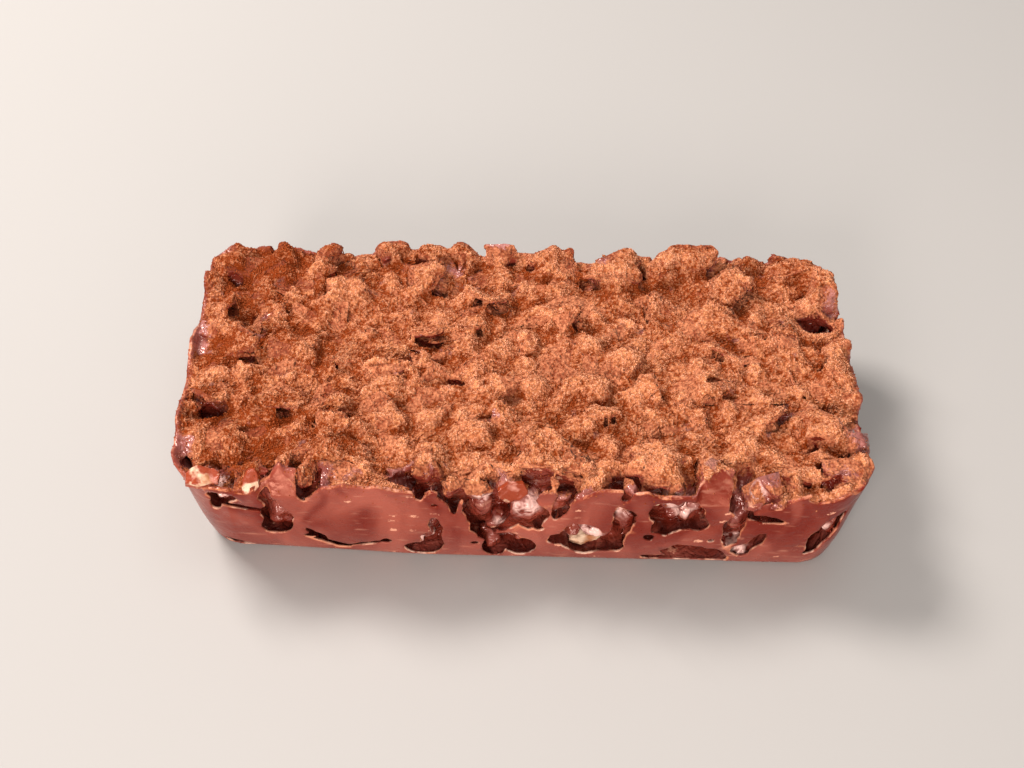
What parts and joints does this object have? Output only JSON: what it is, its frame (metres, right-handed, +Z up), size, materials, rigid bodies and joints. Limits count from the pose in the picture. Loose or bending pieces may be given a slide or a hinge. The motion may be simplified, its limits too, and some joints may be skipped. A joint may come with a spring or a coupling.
{
  "type": "chocolate biscuit loaf cake",
  "caption": "Rectangular no-bake chocolate and broken-biscuit loaf, turned out of its tin, with open cavities in sloped walls and a rough heaped top.",
  "frame": {"origin": "middle of the flat base the loaf stands on", "axes": "+X along the loaf's length, +Y towards its back, +Z up; the front wall, with the widest openings, faces -Y"},
  "size_m": [0.2189, 0.1099, 0.0435],
  "materials": {
    "chocolate": "dark chocolate set against a tin: smooth and glossy, deep red-brown; under cocoa powder on top",
    "biscuit": "bare baked biscuit: matte, pale golden crumb",
    "cocoa": "sieved cocoa powder: fully matte, warm brown, grainy"
  },
  "bodies": {
    "root": {"chocolate_block": "chocolate", "biscuit_shard_1": "biscuit", "biscuit_shard_2": "biscuit", "biscuit_shard_3": "biscuit", "biscuit_shard_4": "biscuit", "biscuit_shard_5": "biscuit", "biscuit_shard_6": "biscuit"}
  },
  "joints": []
}
